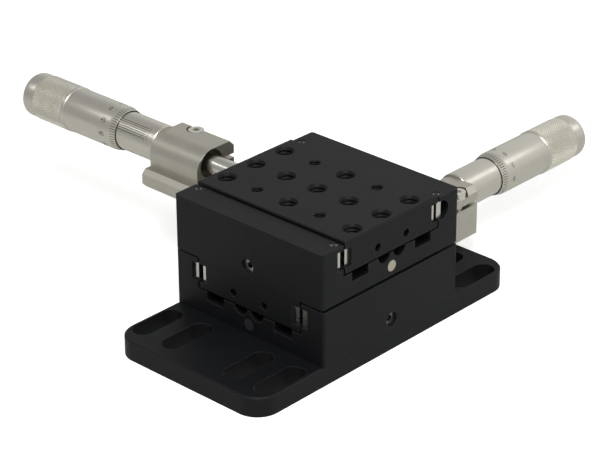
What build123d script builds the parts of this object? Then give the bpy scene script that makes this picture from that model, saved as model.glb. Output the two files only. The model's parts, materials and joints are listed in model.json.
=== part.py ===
"""Two-axis (XY) linear translation stage on a slotted base plate, with two micrometers.

Frame: millimetres, +Z up, origin at the centre of the base plate's bottom face.
The lower stage carries along Y and the upper stage carries along X.  Both are the same
stage: it is drawn once in its own frame, where travel is along x, the micrometer is on
the -x side and z = 0 is the bottom of the stage base, and is then placed twice.
"""
from build123d import *
import math
import os

# ---------------------------------------------------------------- driving dimensions
travel = 25.0                  # full travel of one axis, +-12.5 from the middle
hole_pitch = 12.5              # pitch of the mounting hole grid
rotation_clearance = 0.02      # radial gap of a turned fit
running_clearance = 0.05       # radial gap of a part that slides in another

# base plate
plate_width = 59.0
plate_length = 112.4
plate_thickness = 6.35
plate_corner_radius = 7.5
plate_edge_chamfer = 0.4
slot_width = 7.0
slot_length = 18.5
slot_centre_y = 42.75

# stage body
stage_length = 59.0            # along the travel
stage_width = 59.6
stage_height = 18.5            # bottom of the base to top of the carriage
rail_height = 17.7             # the rails stop short of the carriage's top
floor_height = 7.7             # top of the floor between the rails
bay_half_width = 21.0          # half the bay between the rails
body_corner_radius = 0.9
body_edge_chamfer = 0.3
screw_channel_inner = 10.2     # channels in the floor, from this y ...
screw_channel_outer = 17.3     # ... to this one
screw_channel_depth = 2.9
spring_groove_y = 3.3
spring_groove_z = 8.0
spring_groove_radius = 2.7

# carriage
carriage_half_width = 20.2
carriage_bottom = 8.3
large_tap_radius = 2.5         # M6
large_chamfer = 0.45
small_tap_radius = 1.65        # M4
small_chamfer = 0.2
small_hole_clearance = 0.5     # a screw's clearance hole is this much larger in radius
end_tap_radius = 1.25          # M3, in the carriage's front end
end_tap_y = 6.25
end_tap_z = 11.5
end_tap_depth = 8.0

# ball ways
ball_radius = 1.25
race_thickness = 2.0
race_height = 6.0
race_centre_z = 13.1
race_end_recess = 0.95         # the races stop short of the end faces
race_end_land = 1.0            # the groove stops short of the race's ends and keeps the balls in
carriage_race_y = 19.5         # running face of the carriage races
fixed_race_y = 21.4            # running face of the fixed base race
loaded_race_y = 20.7           # running face of the base race that is pushed inwards
channel_back_y = 23.4          # back wall of the race channels in the rails
preload_bore_radius = 2.9
preload_bore_y = 22.3
cage_thickness = 0.6
cage_height = 5.0
cage_length = 38.0
balls_per_row = 6
ball_pitch = 6.4

# fasteners and small parts
socket_share = 0.55            # depth of a hexagon socket, as a share of the head
seat_z = 3.4                   # seats of the screws that hold a stage base down
counterbore_radius = 3.7
small_screw_head = (3.5, 4.0)  # M4 cap screw head: radius, height
small_screw_reach = 5.5        # thread length below the stage base
small_screw_key = 3.0
race_screw_radius = 1.2
race_screw_key = 1.2
race_screw_x = 27.0
race_screw_y = 22.3
race_screw_recess = 0.3
lock_screw_radius = 2.3
lock_screw_length = 6.0
lock_screw_z = 4.0
lock_screw_recess = 1.2
lock_screw_key = 2.0
lock_bore_depth = 9.0
end_plug_radius = 1.75
end_plug_length = 5.0
end_plug_z = 3.2
pin_radius = 0.75
base_pin_x = -25.0
base_pin_z = (3.5, 8.1)        # foot and tip of the pins in the base
carriage_pin_x = 6.25
carriage_pin_z = (5.6, 10.5)   # tip and head of the pins in the carriage
spring_radius = 1.35
spring_wire = 0.35
spring_z = 6.75
spring_end_gap = 0.15          # from a pin to the first coil
anvil_radius = 2.6
anvil_length = 2.2              # ends short of the tapped hole behind it
anvil_proud = 0.5

# actuator bracket
bracket_outer_x = -64.3
bracket_inner_x = -43.5
bracket_left_y = -6.8
bracket_right_y = 9.3
bracket_foot_left_y = -10.5
bracket_foot_bottom = 1.4
bracket_foot_top = 7.6
bracket_top = 17.75
bracket_round = 6.6
bracket_chamfer = 1.8
foot_chamfer = 1.5
clamp_slit = 1.4
clamp_rim = 0.5                # chamfer round both ends of the clamp's bore
clamp_screw_x = -57.5
clamp_screw_y = 6.9
clamp_seat_z = 15.5
clamp_seat_radius = 3.2
clamp_screw_end_z = 7.0
bracket_screw_y = 6.2
bracket_screw_z = 4.4
bracket_screw_sink = 3.3       # depth of the counterbores in the bracket's outer end
bracket_screw_reach = 8.0      # thread length in the stage base
bracket_tap_spare = 1.0        # the base's thread runs on past the screw's end
m3_radius = 1.5
m3_clearance_radius = 1.6
m3_counterbore_radius = 2.6
m3_head_radius = 2.5
m3_head_height = 3.0
m3_key = 2.5
clamp_head_height = 2.0
clamp_screw_key = 2.0

# micrometer head
axis_z = 12.43
turned_edge = 0.35             # chamfer on the ends of turned parts
shank_radius = 4.75
shank_length = 14.0
barrel_radius = 6.25
spindle_radius = 3.175
thread_radius = 3.0
thread_relief = 10.0           # plain length between the nut and the screwed part
nut_radius = 4.6
nut_length = 12.0
thimble_front_x = -80.6
thimble_step_x = -104.25
thimble_rear_x = -119.5
thimble_wall = 1.0             # end wall of the thimble
thimble_gap = 0.1              # radial gap between the thimble and the barrel
thimble_radius = 7.25
thimble_lip_radius = 6.55
thimble_bevel = 3.0
thimble_core_radius = 6.95
grip_radius = 7.5
cap_radius = 7.3
cap_end_x = -124.65
cap_round = 2.2                # radius of the cap's outer edge
stub_radius = 1.9
stub_depth = 2.5               # the spindle's stub ends this far inside the cap
end_clearance = 1.0            # left inside the thimble when it is screwed right in
barrel_end_x = thimble_rear_x + thimble_wall + travel / 2 + end_clearance

# where the two stages stand, as (name, height of the base's bottom, turn about Z)
stage_places = [
    ("lower", plate_thickness, -90.0),
    ("upper", plate_thickness + stage_height, 0.0),
]


# ---------------------------------------------------------------- small helpers
def block(x_range, y_range, z_range):
    """Box from its lowest and highest x, y and z."""
    spans = (x_range, y_range, z_range)
    centre = [(low + high) / 2 for low, high in spans]
    sizes = [high - low for low, high in spans]
    return Pos(*centre) * Box(*sizes)


def rod_x(radius, x_from, x_to, y=0.0, z=0.0):
    """Cylinder along x."""
    length = abs(x_to - x_from)
    return Pos((x_from + x_to) / 2, y, z) * Rot(0, 90, 0) * Cylinder(radius, length)


def rod_y(radius, y_from, y_to, x=0.0, z=0.0):
    """Cylinder along y."""
    length = abs(y_to - y_from)
    return Pos(x, (y_from + y_to) / 2, z) * Rot(90, 0, 0) * Cylinder(radius, length)


def rod_z(radius, z_from, z_to, x=0.0, y=0.0):
    """Cylinder along z."""
    return Pos(x, y, (z_from + z_to) / 2) * Cylinder(radius, abs(z_to - z_from))


def chamfered_bore(radius, chamfer, z_bottom, z_top, x, y):
    """Cutter for a hole down from z_top with a conical chamfer at its mouth."""
    bore = rod_z(radius, z_bottom, z_top, x, y)
    mouth = Cone(radius, radius + chamfer, chamfer)
    return bore + Pos(x, y, z_top - chamfer / 2) * mouth


def turned(points):
    """Solid of revolution about the micrometer axis, from (x, radius) points."""
    outline = Polyline(*[(x, 0, axis_z + radius) for x, radius in points], close=True)
    return revolve(make_face(outline), Axis((0, 0, axis_z), (1, 0, 0)))


def extruded_yz(sketch, x_from, x_to):
    """Extrude a sketch drawn in (y, z) from x_from to x_to."""
    section = Plane.YZ.offset(min(x_from, x_to)) * sketch
    return extrude(section, amount=abs(x_to - x_from))


def rectangle_yz(y_range, z_range):
    """Rectangle in (y, z) from its lowest and highest values."""
    centre = ((y_range[0] + y_range[1]) / 2, (z_range[0] + z_range[1]) / 2)
    return Pos(*centre) * Rectangle(y_range[1] - y_range[0], z_range[1] - z_range[0])


def both_sides(low, high):
    """The (low, high) range of y on each side of the middle."""
    return [(low, high), (-high, -low)]


def hex_socket(across_flats, depth, mouth_z, x=0.0, y=0.0):
    """Cutter for a hexagon socket that opens upwards at mouth_z."""
    hexagon = RegularPolygon(across_flats / 2, 6, major_radius=False)
    return Pos(x, y, mouth_z - depth) * extrude(hexagon, amount=depth)


# ---------------------------------------------------------------- base plate
def mounting_plate():
    """Flat plate with four rounded slots at each end and the lower stage's tapped holes."""
    outline = RectangleRounded(plate_width, plate_length, plate_corner_radius)
    for x in (-2, -1, 1, 2):
        for y in (-slot_centre_y, slot_centre_y):
            slot = SlotOverall(slot_length, slot_width, rotation=90)
            outline -= Pos(x * hole_pitch, y) * slot
    plate = extrude(outline, amount=plate_thickness)
    rims = plate.faces().sort_by(Axis.Z)[-1].outer_wire().edges()
    plate = chamfer(rims, plate_edge_chamfer)
    for x in (-hole_pitch, hole_pitch):
        for y in (-hole_pitch, hole_pitch):
            plate -= rod_z(small_tap_radius, 0, plate_thickness, x, y)
    return plate


# ---------------------------------------------------------------- stage base and ways
def race_z_range():
    """Lowest and highest z of the races and of their channels."""
    return (race_centre_z - race_height / 2, race_centre_z + race_height / 2)


def base_section(has_preload_bore):
    """Cross-section of the stage base: floor, two rails, channels and grooves."""
    half = stage_width / 2
    section = rectangle_yz((-half, half), (0, rail_height))
    section -= rectangle_yz((-bay_half_width, bay_half_width), (floor_height, rail_height))
    for y_range in both_sides(bay_half_width - 1, channel_back_y):
        section -= rectangle_yz(y_range, race_z_range())
    for y_range in both_sides(screw_channel_inner, screw_channel_outer):
        section -= rectangle_yz(y_range, (floor_height - screw_channel_depth, floor_height))
    for y in (-spring_groove_y, spring_groove_y):
        section -= Pos(y, spring_groove_z) * Circle(spring_groove_radius)
    if has_preload_bore:
        section -= Pos(preload_bore_y, race_centre_z) * Circle(preload_bore_radius)
    return section


def stage_base(has_preload_bore):
    """Base of one stage, with every hole that its screws, pins and plug sit in."""
    half = stage_length / 2
    base = extruded_yz(base_section(has_preload_bore), -half, half)
    corners = base.edges().filter_by(Axis.Z)
    outer = [e for e in corners if abs(e.center().Y) > bay_half_width + 5]
    base = fillet(outer, body_corner_radius)
    for x, y in mounting_points():
        base -= rod_z(small_tap_radius + small_hole_clearance, 0, floor_height, x, y)
        base -= rod_z(counterbore_radius, seat_z, floor_height, x, y)
    for x, y in race_screw_points():
        base -= rod_z(race_screw_radius, race_z_range()[1], rail_height, x, y)
    for side in (-1, 1):
        outer_y = side * stage_width / 2
        base -= rod_y(lock_screw_radius, outer_y, outer_y - side * lock_bore_depth,
                      0, lock_screw_z)
        base -= rod_z(pin_radius, base_pin_z[0], floor_height,
                      base_pin_x, side * spring_groove_y)
        base -= rod_x(m3_radius, -half, -half + bracket_screw_reach + bracket_tap_spare,
                      side * bracket_screw_y, bracket_screw_z)
    base -= rod_x(end_plug_radius, half - end_plug_length, half, 0, end_plug_z)
    return base


def mounting_points():
    """The four points where a stage base is screwed down."""
    return [(x, y) for x in (-hole_pitch, hole_pitch) for y in (-hole_pitch, hole_pitch)]


def race_screw_points():
    """The screws that hold the ends of the base races, two in each rail."""
    return [(x, y) for x in (-race_screw_x, race_screw_x)
            for y in (-race_screw_y, race_screw_y)]


def race(running_y, facing):
    """Hardened race with a 90 degree V groove; facing is the y direction of the groove."""
    back_y = running_y - facing * race_thickness
    gap = ball_gap(running_y)
    depth = (2 * math.sqrt(2) * (ball_radius + rotation_clearance) - gap) / 2
    bar = rectangle_yz((min(running_y, back_y), max(running_y, back_y)), race_z_range())
    groove = Polyline(
        (running_y, race_centre_z - depth),
        (running_y, race_centre_z + depth),
        (running_y - facing * depth, race_centre_z),
        close=True,
    )
    half = stage_length / 2 - race_end_recess
    groove_half = half - race_end_land
    return extruded_yz(bar, -half, half) - extruded_yz(make_face(groove), -groove_half, groove_half)


def ball_gap(running_y):
    """Gap between the two races on the side of the stage where running_y lies."""
    base_face = fixed_race_y if running_y < 0 else loaded_race_y
    return base_face - carriage_race_y


def row_centre_y(side):
    """The y of a ball row's centre line: side is -1 for the fixed, 1 for the loaded row."""
    return side * (carriage_race_y + ball_gap(side) / 2)


def base_races():
    """The two races held by the rails."""
    return [race(-fixed_race_y, 1), race(loaded_race_y, -1)]


def carriage_races():
    """The two races held by the carriage."""
    return [race(-carriage_race_y, -1), race(carriage_race_y, 1)]


def ball_positions():
    """Centres of the balls along a row."""
    return [(i - (balls_per_row - 1) / 2) * ball_pitch for i in range(balls_per_row)]


def balls():
    """Both rows of balls."""
    return [Pos(x, row_centre_y(side), race_centre_z) * Sphere(ball_radius)
            for side in (-1, 1) for x in ball_positions()]


def ball_cages():
    """Thin strips that keep the balls apart."""
    cages = []
    for side in (-1, 1):
        y = row_centre_y(side)
        cage = Pos(0, y, race_centre_z) * Box(cage_length, cage_thickness, cage_height)
        for x in ball_positions():
            hole = ball_radius + running_clearance
            cage -= rod_y(hole, y - 1, y + 1, x, race_centre_z)
        cages.append(cage)
    return cages


# ---------------------------------------------------------------- carriage
def carriage_section():
    """Cross-section of the carriage, with a race channel along each side."""
    section = rectangle_yz((-carriage_half_width, carriage_half_width),
                           (carriage_bottom, stage_height))
    for y_range in both_sides(carriage_race_y - race_thickness, carriage_half_width + 1):
        section -= rectangle_yz(y_range, race_z_range())
    return section


def carriage():
    """Moving table with its grid of tapped holes."""
    half = stage_length / 2
    table = extruded_yz(carriage_section(), -half, half)
    rim = table.faces().sort_by(Axis.Z)[-1].outer_wire().edges()
    table = chamfer(rim, body_edge_chamfer)
    for column in (-1, 0, 1):
        for row in (-2, -1, 0, 1, 2):
            is_small = column != 0 and row in (-1, 1)
            radius = small_tap_radius if is_small else large_tap_radius
            lead_in = small_chamfer if is_small else large_chamfer
            x, y = row * hole_pitch, column * hole_pitch
            table -= chamfered_bore(radius, lead_in, carriage_bottom, stage_height, x, y)
    for side in (-1, 1):
        table -= rod_x(end_tap_radius, half - end_tap_depth, half,
                       side * end_tap_y, end_tap_z)
        table -= rod_z(pin_radius, carriage_bottom, carriage_pin_z[1],
                       carriage_pin_x, side * spring_groove_y)
    table -= rod_x(anvil_radius, -half, -half + anvil_length - anvil_proud, 0, axis_z)
    return table


def anvil():
    """Hardened pad in the carriage's end, where the spindle's tip bears."""
    face_x = -stage_length / 2 - anvil_proud
    return rod_x(anvil_radius, face_x, face_x + anvil_length, 0, axis_z)


# ---------------------------------------------------------------- springs, pins, screws
def spring_pins(x, z_range):
    """Two anchor pins, one in line with each spring groove."""
    return [rod_z(pin_radius, *z_range, x, side * spring_groove_y) for side in (-1, 1)]


def springs():
    """Two extension springs between the base's pins and the carriage's pins."""
    made = []
    hook_radius = pin_radius + spring_wire + 0.1
    for side in (-1, 1):
        y = side * spring_groove_y
        start = base_pin_x + pin_radius + spring_end_gap
        end = carriage_pin_x - pin_radius - spring_end_gap
        coil = rod_x(spring_radius, start, end, y, spring_z)
        coil -= rod_x(spring_radius - spring_wire, start + spring_wire,
                      end - spring_wire, y, spring_z)
        for pin_x in (base_pin_x, carriage_pin_x):
            hook = rod_z(hook_radius, spring_z - spring_wire / 2,
                         spring_z + spring_wire / 2, pin_x, y)
            coil += hook
        for pin_x in (base_pin_x, carriage_pin_x):
            coil -= rod_z(pin_radius + running_clearance, spring_z - spring_radius,
                          spring_z + spring_radius, pin_x, y)
        made.append(coil)
    return made


def cap_screw(head, shank_radius, shank_length, socket):
    """Socket head cap screw, head up, with its seat at z = 0; head is (radius, height)."""
    head_radius, head_height = head
    screw = rod_z(head_radius, 0, head_height) + rod_z(shank_radius, -shank_length, 0)
    return screw - hex_socket(socket, head_height * socket_share, head_height)


def set_screw(radius, length, socket):
    """Hexagon socket set screw with its socket end at z = 0, pointing down."""
    screw = rod_z(radius, -length, 0)
    return screw - hex_socket(socket, length * socket_share, 0)


def mounting_screws():
    """Four M4 cap screws that hold a stage base down."""
    screw = cap_screw(small_screw_head, small_tap_radius, seat_z + small_screw_reach,
                      small_screw_key)
    return [Pos(x, y, seat_z) * screw for x, y in mounting_points()]


def race_screws():
    """Set screws over the ends of the base races."""
    top = rail_height - race_screw_recess
    screw = set_screw(race_screw_radius, top - race_z_range()[1], race_screw_key)
    return [Pos(x, y, top) * screw for x, y in race_screw_points()]


def lock_screws():
    """One set screw in each side of the base."""
    screw = set_screw(lock_screw_radius, lock_screw_length, lock_screw_key)
    made = []
    for side in (-1, 1):
        mouth = side * (stage_width / 2 - lock_screw_recess)
        made.append(Pos(0, mouth, lock_screw_z) * Rot(-side * 90, 0, 0) * screw)
    return made


def end_plug():
    """Plain plug that closes the hole in the end of the base."""
    half = stage_length / 2
    return rod_x(end_plug_radius, half - end_plug_length, half, 0, end_plug_z)


# ---------------------------------------------------------------- actuator bracket
def bracket():
    """Bracket that clamps the micrometer: a foot screwed to the base and a split clamp."""
    foot = rectangle_yz((bracket_foot_left_y, bracket_right_y),
                        (bracket_foot_bottom, bracket_foot_top))
    foot = chamfer(foot.vertices().filter_by(lambda v: v.X < 0), foot_chamfer)
    clamp = rectangle_yz((bracket_left_y, bracket_right_y),
                         (bracket_foot_bottom, bracket_top))
    top_left = clamp.vertices().sort_by(lambda v: v.Y - v.X)[-1]
    clamp = fillet(top_left, bracket_round)
    top_right = clamp.vertices().sort_by(lambda v: v.Y + v.X)[-1]
    clamp = chamfer(top_right, bracket_chamfer)
    body = extruded_yz(foot, bracket_outer_x, -stage_length / 2)
    body += extruded_yz(clamp, bracket_outer_x, bracket_inner_x)
    body -= rod_x(shank_radius + rotation_clearance, bracket_outer_x, bracket_inner_x,
                  0, axis_z)
    for x, turn in ((bracket_inner_x, 1), (bracket_outer_x, -1)):
        rim = Cone(shank_radius, shank_radius + clamp_rim, clamp_rim)
        body -= Pos(x - turn * clamp_rim / 2, 0, axis_z) * Rot(0, turn * 90, 0) * rim
    body -= block((bracket_outer_x, bracket_inner_x), (shank_radius - 1, bracket_right_y),
                  (axis_z - clamp_slit / 2, axis_z + clamp_slit / 2))
    for radius, z_range in (
        (clamp_seat_radius, (clamp_seat_z, bracket_top)),
        (m3_clearance_radius, (clamp_screw_end_z - running_clearance, clamp_seat_z)),
    ):
        body -= rod_z(radius, *z_range, clamp_screw_x, clamp_screw_y)
    for y in (-bracket_screw_y, bracket_screw_y):
        for radius, x_end in ((m3_clearance_radius, -stage_length / 2),
                              (m3_counterbore_radius, bracket_outer_x + bracket_screw_sink)):
            body -= rod_x(radius, bracket_outer_x, x_end, y, bracket_screw_z)
    return body


def clamp_screw():
    """Screw that pulls the split clamp closed."""
    screw = cap_screw((m3_head_radius, clamp_head_height), m3_radius,
                      clamp_seat_z - clamp_screw_end_z, clamp_screw_key)
    return Pos(clamp_screw_x, clamp_screw_y, clamp_seat_z) * screw


def bracket_screws():
    """Two long screws that hold the bracket to the end of the base."""
    seat_x = bracket_outer_x + bracket_screw_sink
    length = -stage_length / 2 + bracket_screw_reach - seat_x
    screw = cap_screw((m3_head_radius, m3_head_height), m3_radius, length, m3_key)
    return [Pos(seat_x, side * bracket_screw_y, bracket_screw_z) * Rot(0, -90, 0) * screw
            for side in (-1, 1)]


# ---------------------------------------------------------------- micrometer head
def sleeve():
    """Fixed barrel: a shank in the clamp and a barrel that the thimble runs over."""
    front = bracket_outer_x + shank_length
    bore = spindle_radius + running_clearance
    nut_x = barrel_end_x + nut_length
    return turned([
        (front, bore),
        (front, shank_radius - turned_edge),
        (front - turned_edge, shank_radius),
        (bracket_outer_x, shank_radius),
        (bracket_outer_x, barrel_radius - turned_edge),
        (bracket_outer_x - turned_edge, barrel_radius),
        (barrel_end_x, barrel_radius),
        (barrel_end_x, nut_radius),
        (nut_x, nut_radius),
        (nut_x, bore),
    ])


def spindle_nut():
    """Threaded bush in the rear of the barrel."""
    bore = spindle_radius + running_clearance
    return turned([
        (barrel_end_x, bore),
        (barrel_end_x + nut_length, bore),
        (barrel_end_x + nut_length, nut_radius),
        (barrel_end_x, nut_radius),
    ])


def spindle():
    """Ground spindle with a flat tip, a screwed rear half and a stub for the cap."""
    tip = -stage_length / 2 - anvil_proud
    rear = thimble_rear_x + thimble_wall
    thread_x = barrel_end_x + nut_length + thread_relief
    stub_x = cap_end_x + stub_depth
    return turned([
        (tip, 0),
        (tip, spindle_radius - turned_edge),
        (tip - turned_edge, spindle_radius),
        (thread_x, spindle_radius),
        (thread_x - turned_edge, thread_radius),
        (rear, thread_radius),
        (rear, stub_radius),
        (stub_x, stub_radius),
        (stub_x, 0),
    ])


def thimble():
    """Turning barrel with a bevelled front edge and a thinner core under the grip."""
    bore = barrel_radius + thimble_gap
    inner_end = thimble_rear_x + thimble_wall
    stub_bore = stub_radius + rotation_clearance
    return turned([
        (thimble_front_x, bore),
        (thimble_front_x, thimble_lip_radius),
        (thimble_front_x - thimble_bevel, thimble_radius),
        (thimble_step_x, thimble_radius),
        (thimble_step_x, thimble_core_radius),
        (thimble_rear_x, thimble_core_radius),
        (thimble_rear_x, stub_bore),
        (inner_end - rotation_clearance, stub_bore),
        (inner_end - rotation_clearance, bore),
    ])


def thimble_grip():
    """Ring over the thimble's core that the fingers turn."""
    bore = thimble_core_radius
    return turned([
        (thimble_step_x, bore),
        (thimble_step_x, grip_radius - turned_edge),
        (thimble_step_x - turned_edge, grip_radius),
        (thimble_rear_x + turned_edge, grip_radius),
        (thimble_rear_x, grip_radius - turned_edge),
        (thimble_rear_x, bore),
    ])


def thimble_cap():
    """Round cap that closes the thimble."""
    stub_bore = stub_radius + rotation_clearance
    stub_end = cap_end_x + stub_depth - rotation_clearance
    cap = turned([
        (thimble_rear_x, stub_bore),
        (thimble_rear_x, cap_radius),
        (cap_end_x, cap_radius),
        (cap_end_x, 0),
        (stub_end, 0),
        (stub_end, stub_bore),
    ])
    rim = cap.faces().sort_by(Axis.X)[0].edges()
    return fillet(rim, cap_round)


# ---------------------------------------------------------------- assembly
def stage_pieces(has_preload_bore):
    """Every node of one stage, in the stage's own frame."""
    return {
        "base": stage_base(has_preload_bore),
        "base_races": base_races(),
        "race_screws": race_screws(),
        "mounting_screws": mounting_screws(),
        "lock_screws": lock_screws(),
        "end_plug": end_plug(),
        "base_spring_pins": spring_pins(base_pin_x, base_pin_z),
        "springs": springs(),
        "carriage": carriage(),
        "carriage_races": carriage_races(),
        "carriage_spring_pins": spring_pins(carriage_pin_x, carriage_pin_z),
        "anvil": anvil(),
        "ball_cages": ball_cages(),
        "balls": balls(),
        "bracket": bracket(),
        "bracket_screws": bracket_screws(),
        "clamp_screw": clamp_screw(),
        "sleeve": sleeve(),
        "spindle_nut": spindle_nut(),
        "spindle": spindle(),
        "thimble": thimble(),
        "thimble_grip": thimble_grip(),
        "thimble_cap": thimble_cap(),
    }


def write(name, shape, place):
    """Write one node as parts/NAME.step; a list of solids becomes one group."""
    solids = shape if isinstance(shape, list) else [shape]
    placed = [place * solid for solid in solids]
    node = placed[0] if len(placed) == 1 else Compound(children=placed)
    node.label = name
    export_step(node, f"parts/{name}.step")


os.makedirs("parts", exist_ok=True)
write("mounting_plate", mounting_plate(), Location())
for stage_name, height, turn in stage_places:
    place = Pos(0, 0, height) * Rot(0, 0, turn)
    for piece_name, shape in stage_pieces(stage_name == "upper").items():
        write(f"{stage_name}_{piece_name}", shape, place)
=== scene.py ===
"""Looks of the two-axis linear translation stage: finishes, threads, scales, knurls, springs.

Both stages are the same, so a piece is drawn once in the stage's own frame and put in the
lower or the upper stage's place.  In that frame the unit is the millimetre, travel is along
x, the micrometer is on the -x side and z = 0 is the bottom of the stage base.
"""
import json
import math

import bmesh
import bpy
from mathutils import Matrix, Vector


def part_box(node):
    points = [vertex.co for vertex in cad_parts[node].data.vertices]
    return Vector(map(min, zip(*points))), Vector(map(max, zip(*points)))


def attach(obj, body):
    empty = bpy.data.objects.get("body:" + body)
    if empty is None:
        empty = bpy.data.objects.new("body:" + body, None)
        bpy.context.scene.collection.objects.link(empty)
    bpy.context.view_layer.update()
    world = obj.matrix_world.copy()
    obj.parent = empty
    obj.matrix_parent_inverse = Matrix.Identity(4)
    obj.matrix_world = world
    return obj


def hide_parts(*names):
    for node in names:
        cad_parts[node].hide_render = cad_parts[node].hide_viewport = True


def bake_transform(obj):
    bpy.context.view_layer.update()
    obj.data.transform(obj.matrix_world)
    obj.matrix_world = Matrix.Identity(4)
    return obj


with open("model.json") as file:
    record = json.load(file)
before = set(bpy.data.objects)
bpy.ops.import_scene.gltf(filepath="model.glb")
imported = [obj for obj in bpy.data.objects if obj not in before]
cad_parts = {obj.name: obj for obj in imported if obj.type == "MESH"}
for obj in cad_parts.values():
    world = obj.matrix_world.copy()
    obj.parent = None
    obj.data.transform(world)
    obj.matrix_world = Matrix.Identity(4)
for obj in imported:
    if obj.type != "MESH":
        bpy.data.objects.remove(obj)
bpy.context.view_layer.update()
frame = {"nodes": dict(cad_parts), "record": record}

mm = 0.001

# ---------------------------------------------------------------- places, from the frame
record = frame["record"]
body_of = {name: body for body, members in record["behaviour"]["bodies"].items() for name in members}
slot_of = {part["node"]: part["material_slot"] for part in record["subparts"]}
plate_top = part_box("mounting_plate")[1].z
stage_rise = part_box("lower_carriage")[1].z - plate_top
places = {
    "lower": Matrix.Translation((0, 0, plate_top)) @ Matrix.Rotation(math.radians(-90), 4, "Z"),
    "upper": Matrix.Translation((0, 0, plate_top + stage_rise)),
}
places = {stage: place @ Matrix.Scale(mm, 4) for stage, place in places.items()}


def stage_box(piece):
    """Lowest and highest corners of one piece of a stage, in the stage's own frame."""
    back = places["upper"].inverted()
    low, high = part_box(f"upper_{piece}")
    return back @ low, back @ high


sleeve_low, sleeve_high = stage_box("sleeve")
thimble_low, thimble_high = stage_box("thimble")
grip_low, grip_high = stage_box("thimble_grip")
cap_low, cap_high = stage_box("thimble_cap")
spindle_low, spindle_high = stage_box("spindle")
bracket_low = stage_box("bracket")[0]
carriage_low, carriage_high = stage_box("carriage")
base_pin_low, base_pin_high = stage_box("base_spring_pins")
table_pin_low, table_pin_high = stage_box("carriage_spring_pins")
spring_low, spring_high = stage_box("springs")

axis_z = (sleeve_low.z + sleeve_high.z) / 2
barrel_radius = (sleeve_high.y - sleeve_low.y) / 2
thimble_radius = (thimble_high.y - thimble_low.y) / 2
grip_radius = (grip_high.y - grip_low.y) / 2
cap_radius = (cap_high.y - cap_low.y) / 2
spindle_radius = (spindle_high.y - spindle_low.y) / 2
# inside the micrometer
shank_radius = 4.75
spindle_play = 0.05            # between the spindle and the sleeve's bore
thimble_play = 0.1             # between the sleeve and the thimble's bore
thread_inset = 22.0            # the spindle's thread starts this far in from the sleeve's rear
spindle_thread_radius = 3.0
stub_radius = 1.9              # the spindle's rear end, inside the cap
stub_play = 0.02
rear_wall = 1.0                # of the thimble
grip_wall = 0.55               # thickness of the grip's ring

# tapped holes of the carriage: pitch of their grid, then each thread's drill radius, outside
# radius and pitch, the chamfer of the solid's hole, and the depth and radius of its countersink
hole_pitch = 12.5
large_thread = {"drill": 2.5, "outside": 2.9, "pitch": 1.0, "chamfer": 0.45,
                "mouth": 0.75, "mouth_radius": 3.15}
small_thread = {"drill": 1.65, "outside": 1.85, "pitch": 0.7, "chamfer": 0.2,
                "mouth": 0.4, "mouth_radius": 2.0}

# outside of the micrometer
lip_radius = 6.6               # front edge of the thimble
lip_bore = 6.48                # its bore, opened at the front
lip_taper = 1.5                # length of that opening
bevel_length = 3.0
divisions = 50                 # on the thimble
numbered_step = 5              # divisions from one number to the next
mark_width = 0.19
mark_proud = 0.012             # the filled marks stand this far out of the metal
mark_depth = 0.06              # and reach this far into it
scale_length = 25.0            # of the lines along the sleeve
vernier_lines = 6
vernier_step = math.radians(360 / divisions * 0.9)    # nine tenths of a division
knurls_round = 58              # chosen, as is the pitch along the axis
knurl_pitch = 1.4
knurl_depth = 0.25
knurl_inset = 0.9              # plain rim in front of the knurl
turned_crease = 32             # degrees: turned parts keep edges sharper than this crisp

# extension springs
wire_size = 0.35
pin_radius = 0.75              # of the pins that hold their hooks

# the turn of each micrometer's numbers and scale about its axis, from +z towards -y
number_turn = {"upper": math.radians(20.5), "lower": math.radians(-20.0)}
scale_turn = {"upper": math.radians(30.0), "lower": math.radians(150.0)}


# ---------------------------------------------------------------- materials
def linear(hex_colour):
    """Linear RGBA of an sRGB colour such as #8A8A8A."""
    channels = [int(hex_colour[i:i + 2], 16) / 255 for i in (1, 3, 5)]
    return [c / 12.92 if c <= 0.04045 else ((c + 0.055) / 1.055) ** 2.4 for c in channels] + [1.0]


def add(tree, kind, inputs=None, **settings):
    """Add a node; inputs takes values or other nodes' output sockets by input name or number."""
    made = tree.nodes.new(kind)
    for name, value in settings.items():
        setattr(made, name, value)
    for key, value in (inputs or {}).items():
        if isinstance(value, bpy.types.NodeSocket):
            tree.links.new(value, made.inputs[key])
        else:
            made.inputs[key].default_value = value
    return made


def per_mm(size):
    """Noise scale, in cells per metre, for a feature of this size in millimetres."""
    return 1 / (size * mm)


def start_material(name, colour, metallic, roughness):
    """New material with these values on its shader; gives material, tree and shader."""
    made = bpy.data.materials.new(name)
    made.use_nodes = True
    shader = made.node_tree.nodes["Principled BSDF"]
    shader.inputs["Base Color"].default_value = linear(colour)
    shader.inputs["Metallic"].default_value = metallic
    shader.inputs["Roughness"].default_value = roughness
    return made, made.node_tree, shader


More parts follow.
